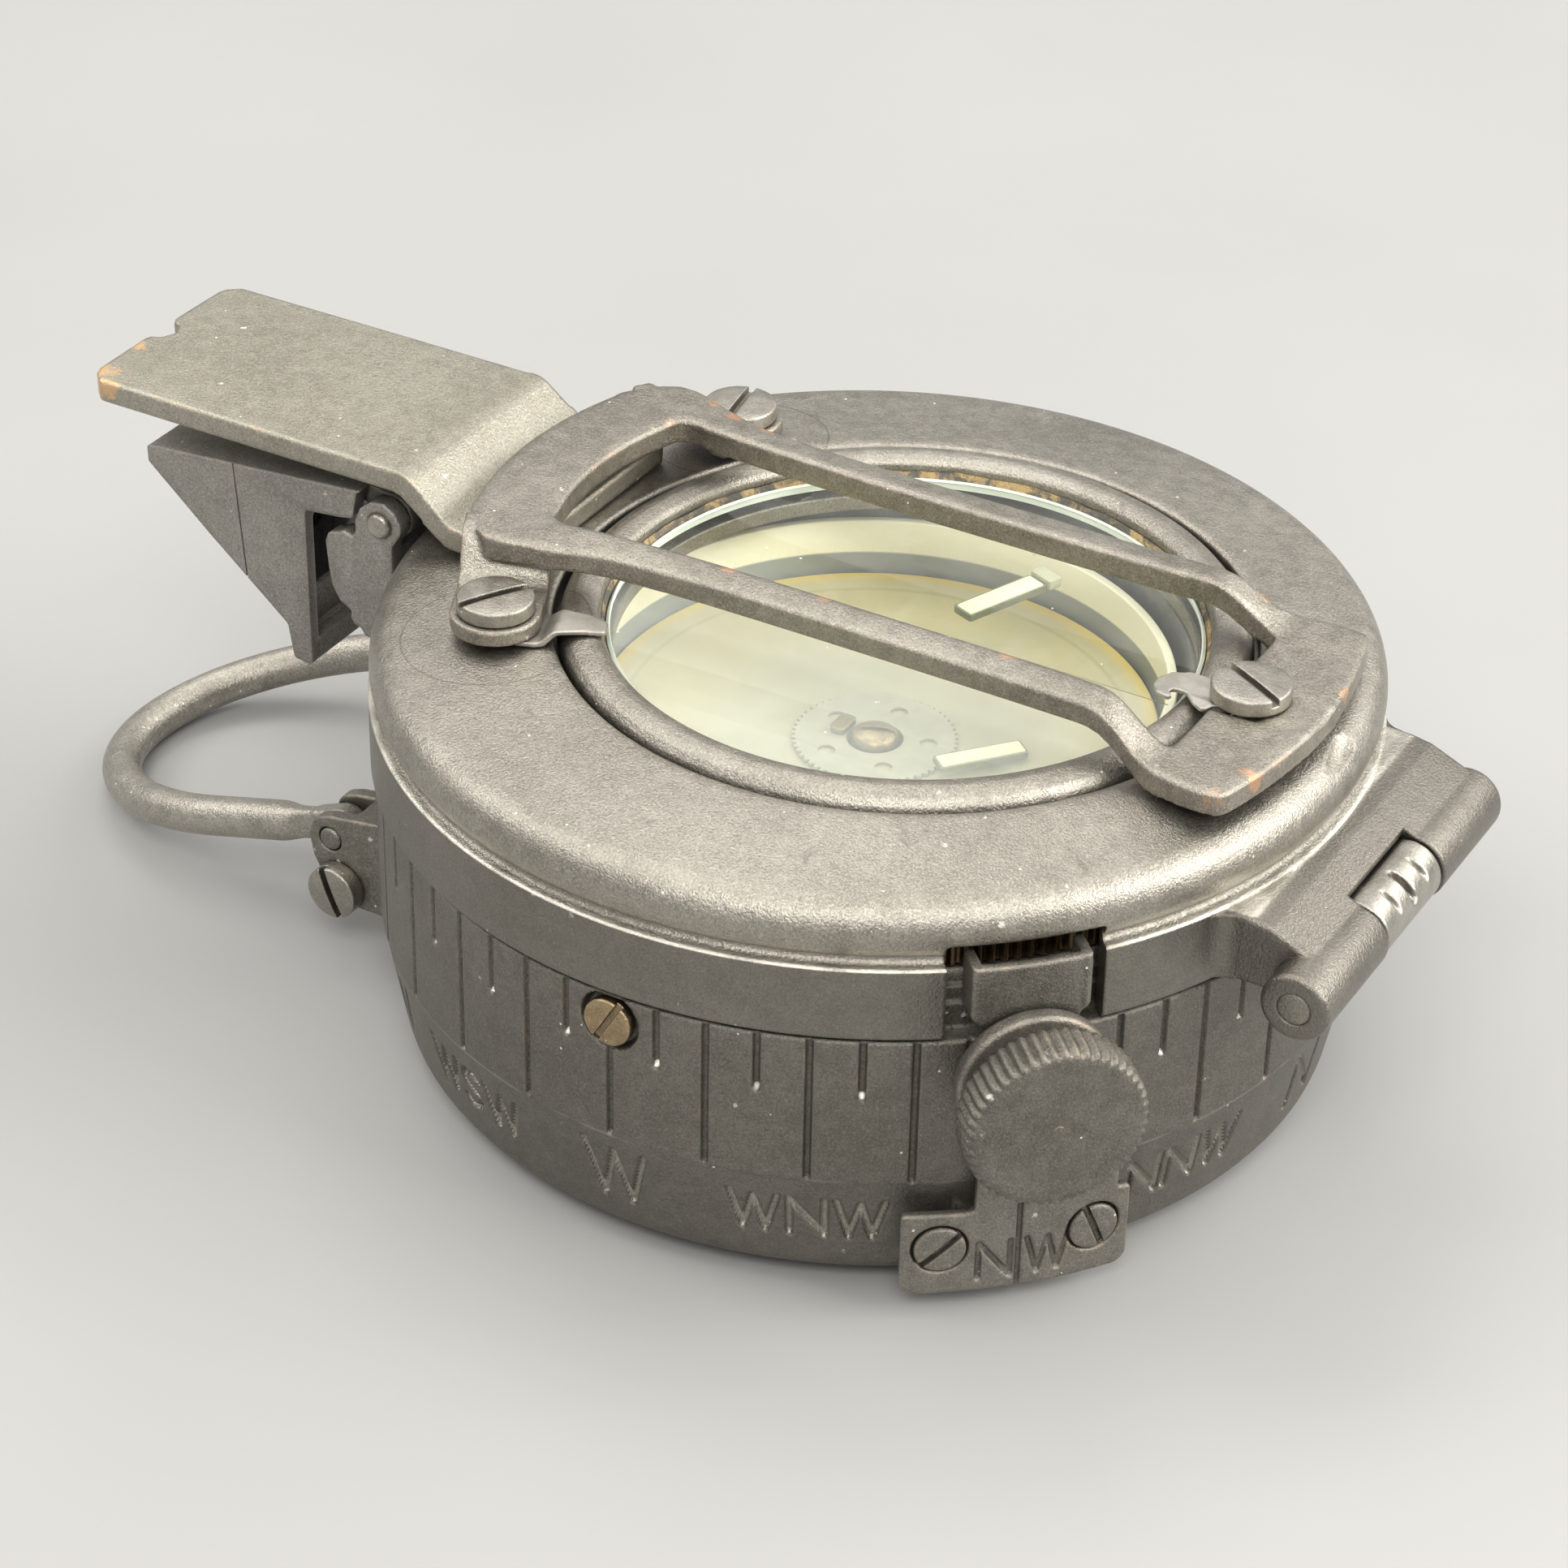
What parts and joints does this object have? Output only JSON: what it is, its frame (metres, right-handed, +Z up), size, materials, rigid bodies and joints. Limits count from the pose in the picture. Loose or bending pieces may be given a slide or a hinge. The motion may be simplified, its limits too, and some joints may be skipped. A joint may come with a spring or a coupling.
{
  "type": "sighting compass",
  "caption": "Prismatic sighting compass: glazed head with guard bars and a rear leaf, drum case with compass points, folding prism, thumb loop, lid hinge and a side clamp knob.",
  "frame": {"origin": "on the drum's axis in the plane the base rests on", "axes": "+X along the sight line towards the lid hinge, -X towards the prism and thumb loop, +Z up along the drum's axis"},
  "size_m": [0.0922, 0.0604, 0.0321],
  "materials": {
    "grey_enamel": "worn warm grey enamel over brass",
    "brass": "aged satin",
    "steel": "dull, slightly worn",
    "glass": "clear, faint green edge",
    "cream_enamel": "matt cream enamel",
    "card_varnish": "yellowed varnish",
    "luminous_paint": "matt luminous paint"
  },
  "bodies": {
    "case": {"base_cover": "grey_enamel", "base_screw_1": "steel", "base_screw_2": "steel", "base_screw_3": "steel", "drum_body": "grey_enamel", "pivot_bridge": "brass", "pivot_post": "steel", "inner_bowl": "grey_enamel", "head_case": "grey_enamel", "bezel_ring": "grey_enamel", "cover_glass": "glass", "index_strip": "luminous_paint", "scale_lens": "glass", "sight_guard": "grey_enamel", "guard_screw_near": "steel", "guard_screw_far": "steel", "guard_screw_front": "steel", "glass_clip_near": "steel", "glass_clip_far": "steel", "glass_clip_front": "steel", "rear_leaf": "grey_enamel", "prism_bracket": "grey_enamel", "bracket_screw_near": "steel", "bracket_screw_far": "steel", "prism_pin": "steel", "loop_lug_near": "grey_enamel", "loop_lug_far": "grey_enamel", "loop_pin_near": "steel", "loop_pin_far": "steel", "loop_screw_near": "steel", "loop_screw_far": "steel", "clamp_spring": "grey_enamel", "clamp_washer": "grey_enamel", "foot_screw_1": "steel", "foot_screw_2": "steel", "case_screw_1": "brass", "case_screw_2": "brass", "case_screw_3": "brass", "hinge_pin": "steel"},
    "card": {"compass_card": "card_varnish", "scale_ring": "cream_enamel", "jewel_cap": "brass", "card_magnet_1": "steel", "card_magnet_2": "steel", "north_strip": "luminous_paint"},
    "prism": {"prism_housing": "grey_enamel", "prism_glass": "glass"},
    "loop": {"thumb_loop": "grey_enamel"},
    "knob": {"clamp_knob": "grey_enamel", "clamp_stud": "steel"},
    "setting_ring": {"toothed_ring": "brass"},
    "sleeve": {"hinge_sleeve": "steel"}
  },
  "joints": [
    {"name": "card_swing", "type": "hinge", "parent": "case", "child": "card", "pos_m": [0, 0, 0.0182], "axis": [0, 0, 1], "continuous": true},
    {"name": "prism_tilt", "type": "hinge", "parent": "case", "child": "prism", "pos_m": [-0.0312, 0, 0.0272], "axis": [0, 1, 0], "range_deg": [-8, 7]},
    {"name": "loop_swing", "type": "hinge", "parent": "case", "child": "loop", "pos_m": [-0.0307, 0, 0.0085], "axis": [0, 1, 0], "range_deg": [-42, 52]},
    {"name": "clamp_turn", "type": "hinge", "parent": "case", "child": "knob", "pos_m": [0.02326, -0.02326, 0.0168], "axis": [0.7071, -0.7071, 0], "range_deg": [0, 360]},
    {"name": "ring_set", "type": "hinge", "parent": "case", "child": "setting_ring", "pos_m": [0, 0, 0.0236], "axis": [0, 0, 1], "range_deg": [-15, 15]},
    {"name": "sleeve_turn", "type": "hinge", "parent": "case", "child": "sleeve", "pos_m": [0.0335, 0, 0.0199], "axis": [0, 1, 0], "continuous": true}
  ]
}
